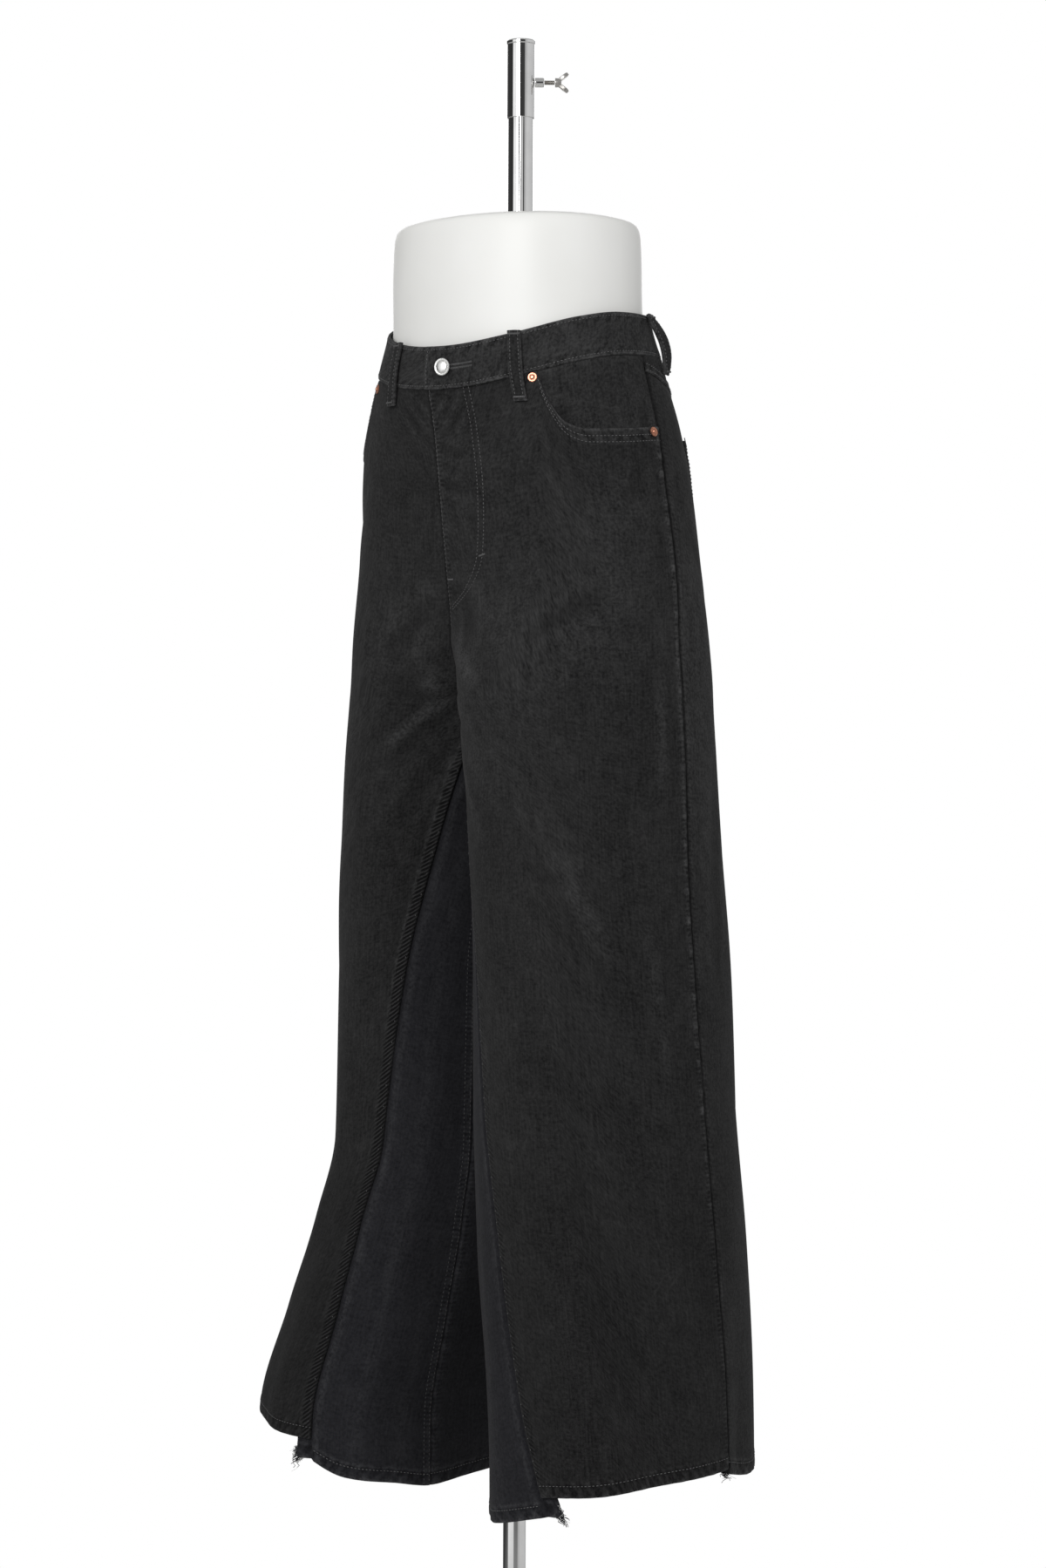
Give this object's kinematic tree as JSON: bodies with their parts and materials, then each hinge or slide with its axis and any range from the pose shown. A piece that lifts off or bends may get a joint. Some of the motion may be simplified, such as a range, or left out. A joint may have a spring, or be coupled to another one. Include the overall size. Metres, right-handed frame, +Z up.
{
  "type": "baggy jeans on a limbless hip form and pole stand",
  "caption": "Washed black wide-leg five-pocket jeans with a darker panel let into each inner leg, worn by a white hip form on a chrome pole.",
  "frame": {"origin": "on the floor under the middle of the pole, at the underside of the base plate", "axes": "+Z up along the pole, -Y to the wearer's front, +X to the wearer's left"},
  "size_m": [0.5198, 0.3829, 1.595],
  "materials": {
    "denim": "washed twill, matte",
    "insert_denim": "blue-black twill, matte",
    "copper": "copper, satin",
    "nickel": "nickel, satin",
    "chrome": "polished",
    "steel": "satin",
    "form_white": "satin"
  },
  "bodies": {
    "root": {"back_panel_left": "denim", "back_panel_right": "denim", "back_pocket_left": "denim", "back_pocket_right": "denim", "base_collar": "steel", "base_plate": "steel", "belt_loop_back": "denim", "belt_loop_front_left": "denim", "belt_loop_front_right": "denim", "belt_loop_side_left": "denim", "belt_loop_side_right": "denim", "button": "nickel", "clamp_boss": "chrome", "clamp_screw": "steel", "clamp_sleeve": "chrome", "coin_pocket": "denim", "front_panel_left": "denim", "front_panel_right": "denim", "godet_back_left": "insert_denim", "godet_back_right": "insert_denim", "godet_front_left": "insert_denim", "godet_front_right": "insert_denim", "guide_rod": "chrome", "hip_form": "form_white", "pocket_facing_left": "denim", "pocket_facing_right": "denim", "pole": "chrome", "rivet_front_left": "copper", "rivet_front_right": "copper", "rivet_side_left": "copper", "rivet_side_right": "copper", "upper_tube": "chrome", "waistband": "denim", "wing_nut": "steel", "yoke_left": "denim", "yoke_right": "denim"}
  },
  "joints": []
}
